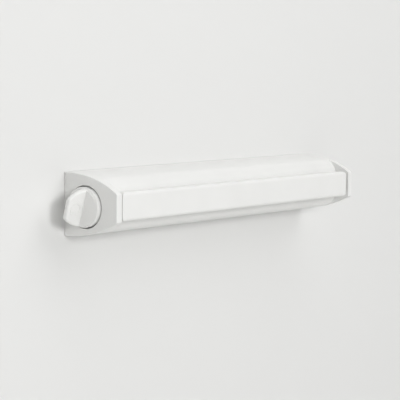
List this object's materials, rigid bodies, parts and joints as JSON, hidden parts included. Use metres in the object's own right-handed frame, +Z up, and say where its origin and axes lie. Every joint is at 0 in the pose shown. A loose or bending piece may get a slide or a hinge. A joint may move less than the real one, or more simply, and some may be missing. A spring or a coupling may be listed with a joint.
{
  "type": "retractable clothesline",
  "caption": "Wall-mounted retractable clothesline: sprung spools in a crowned housing, lines drawn out by a pull bar, and a side knob that tensions them.",
  "frame": {"origin": "centre of the wall screw pattern, on the back plane", "axes": "+X along the housing with the knob at the low end, +Y into the wall, +Z up"},
  "size_m": [0.4586, 0.0693, 0.065],
  "materials": {
    "white_plastic": "satin-gloss white moulded plastic",
    "grey_plastic": "grey moulded plastic",
    "bearing_plastic": "natural acetal",
    "steel": "zinc-plated steel",
    "line": "white coated braided line",
    "ferrule": "crimped aluminium"
  },
  "bodies": {
    "housing": {"left_end_cap": "white_plastic", "right_end_cap": "white_plastic", "housing_shell": "white_plastic", "wall_plate": "grey_plastic", "left_bearing_bracket": "grey_plastic", "right_bearing_bracket": "grey_plastic", "left_bush": "bearing_plastic", "right_bush": "bearing_plastic", "cap_screws": "steel", "bracket_screws": "steel", "ratchet_finger": "bearing_plastic", "ratchet_finger_screw": "steel", "spring_case": "grey_plastic", "spring_case_lid": "steel", "spring_case_screws": "steel", "line_eyelet_1": "bearing_plastic", "line_eyelet_2": "bearing_plastic", "line_eyelet_3": "bearing_plastic", "line_eyelet_4": "bearing_plastic", "line_eyelet_5": "bearing_plastic"},
    "spools": {"spool_shaft": "steel", "spool_spacers": "grey_plastic", "shaft_clips": "steel", "clutch_disc": "bearing_plastic", "spring_arbor": "grey_plastic", "spiral_spring": "steel", "line_spool_1": "grey_plastic", "line_spool_2": "grey_plastic", "line_spool_3": "grey_plastic", "line_spool_4": "grey_plastic", "line_spool_5": "grey_plastic", "line_winding_1": "line", "line_winding_2": "line", "line_winding_3": "line", "line_winding_4": "line", "line_winding_5": "line"},
    "knob": {"knob": "white_plastic", "ratchet_wheel": "bearing_plastic", "clutch_ring": "bearing_plastic", "knob_screws": "steel"},
    "pull_bar": {"pull_bar_front": "white_plastic", "pull_bar_back": "white_plastic", "pull_bar_screws": "steel", "line_ferrules": "ferrule", "line_span_1": "line", "line_span_2": "line", "line_span_3": "line", "line_span_4": "line", "line_span_5": "line"}
  },
  "joints": [
    {"name": "bar_pull", "type": "slide", "parent": "housing", "child": "pull_bar", "axis": [0, -1, 0], "range_m": [0, 4.4], "stiffness_N_per_m": 1.2, "springref_m": -2.5, "deforming": ["line_span_1", "line_span_2", "line_span_3", "line_span_4", "line_span_5"]},
    {"name": "spool_spin", "type": "hinge", "parent": "housing", "child": "spools", "pos_m": [0, -0.0277, -0.0014], "axis": [1, 0, 0], "range_deg": [0, 20700], "deforming": ["spiral_spring"]},
    {"name": "knob_turn", "type": "hinge", "parent": "housing", "child": "knob", "pos_m": [-0.215, -0.0277, -0.0014], "axis": [1, 0, 0], "continuous": true, "deforming": ["ratchet_finger"]}
  ],
  "couplings": [
    {"joint": "spool_spin", "follows": "bar_pull", "rad_per_m": 82.057}
  ]
}
